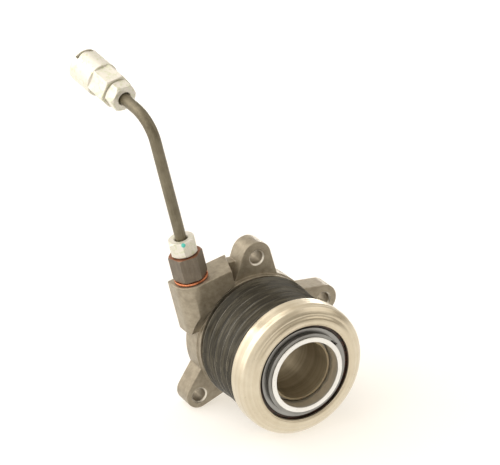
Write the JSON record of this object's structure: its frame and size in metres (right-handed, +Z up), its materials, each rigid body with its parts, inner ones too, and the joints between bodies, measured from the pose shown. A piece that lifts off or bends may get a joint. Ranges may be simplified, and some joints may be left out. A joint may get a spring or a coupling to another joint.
{
  "type": "concentric slave cylinder",
  "caption": "Concentric hydraulic clutch slave cylinder: cast flanged housing with lugs and inlet boss, bellows, release bearing, and a bent feed pipe ending in a latched socket.",
  "frame": {"origin": "centre of the cylinder's axis on the flange's back face, where it meets the gearbox", "axes": "+Y runs along the axis from the bearing towards the gearbox, +Z up towards the top lug and the pipe, +X to the right seen from the bearing"},
  "size_m": [0.1198, 0.1098, 0.1777],
  "materials": {
    "cast_aluminium": "as cast, satin",
    "nickel_plate": "warm plated, turned, satin",
    "bright_steel": "polished",
    "ground_steel": "fine ground, oiled",
    "dark_plate": "dark phosphate, satin",
    "zinc_plate": "zinc plated, passivated",
    "pipe_coating": "olive plating, satin",
    "black_rubber": "matt, lightly ribbed",
    "cage_plastic": "moulded",
    "copper": "soft copper, bright"
  },
  "bodies": {
    "fixed_part": {"housing": "cast_aluminium", "guide_sleeve": "ground_steel", "sleeve_o_ring": "black_rubber", "sleeve_stop_ring": "ground_steel", "copper_washer": "copper", "inlet_adapter": "dark_plate", "inlet_tube_nut": "zinc_plate", "hydraulic_pipe": "pipe_coating", "connector_tube_nut": "zinc_plate", "connector_body": "zinc_plate", "connector_o_ring": "black_rubber", "dust_boot": "black_rubber", "preload_spring": "ground_steel"},
    "release_piston": {"piston": "bright_steel", "piston_seal": "black_rubber", "wiper_ring": "black_rubber", "spring_seat": "ground_steel", "bearing_retaining_clip": "ground_steel"},
    "float_washer": {"wave_washer": "ground_steel"},
    "bearing_inner": {"bearing_inner_ring": "ground_steel", "bearing_rear_seal": "ground_steel"},
    "bearing_outer": {"bearing_outer_ring": "nickel_plate", "bearing_front_seal": "black_rubber"},
    "ball_train": {"bearing_cage": "cage_plastic", "bearing_ball_01": "bright_steel", "bearing_ball_02": "bright_steel", "bearing_ball_03": "bright_steel", "bearing_ball_04": "bright_steel", "bearing_ball_05": "bright_steel", "bearing_ball_06": "bright_steel", "bearing_ball_07": "bright_steel", "bearing_ball_08": "bright_steel", "bearing_ball_09": "bright_steel", "bearing_ball_10": "bright_steel", "bearing_ball_11": "bright_steel", "bearing_ball_12": "bright_steel", "bearing_ball_13": "bright_steel", "bearing_ball_14": "bright_steel", "bearing_ball_15": "bright_steel", "bearing_ball_16": "bright_steel"},
    "socket_latch": {"connector_clip": "bright_steel"}
  },
  "joints": [
    {"name": "piston_stroke", "type": "slide", "parent": "fixed_part", "child": "release_piston", "axis": [0, 1, 0], "range_m": [0, 0.014], "stiffness_N_per_m": 2000, "springref_m": -0.02, "deforming": ["dust_boot", "preload_spring"]},
    {"name": "bearing_float_side", "type": "slide", "parent": "release_piston", "child": "float_washer", "axis": [1, 0, 0], "range_m": [-0.0004, 0.0004]},
    {"name": "bearing_float_up", "type": "slide", "parent": "float_washer", "child": "bearing_inner", "axis": [0, 0, 1], "range_m": [-0.0004, 0.0004]},
    {"name": "bearing_spin", "type": "hinge", "parent": "bearing_inner", "child": "bearing_outer", "pos_m": [0, -0.0538, 0], "axis": [0, 1, 0], "continuous": true},
    {"name": "ball_train_spin", "type": "hinge", "parent": "bearing_inner", "child": "ball_train", "pos_m": [0, -0.0538, 0], "axis": [0, 1, 0], "continuous": true},
    {"name": "latch_lift", "type": "slide", "parent": "fixed_part", "child": "socket_latch", "axis": [-0.189, -0.2987, 0.9354], "range_m": [0, 0.003]}
  ],
  "couplings": [
    {"joint": "ball_train_spin", "follows": "bearing_spin", "ratio": 0.5538}
  ]
}
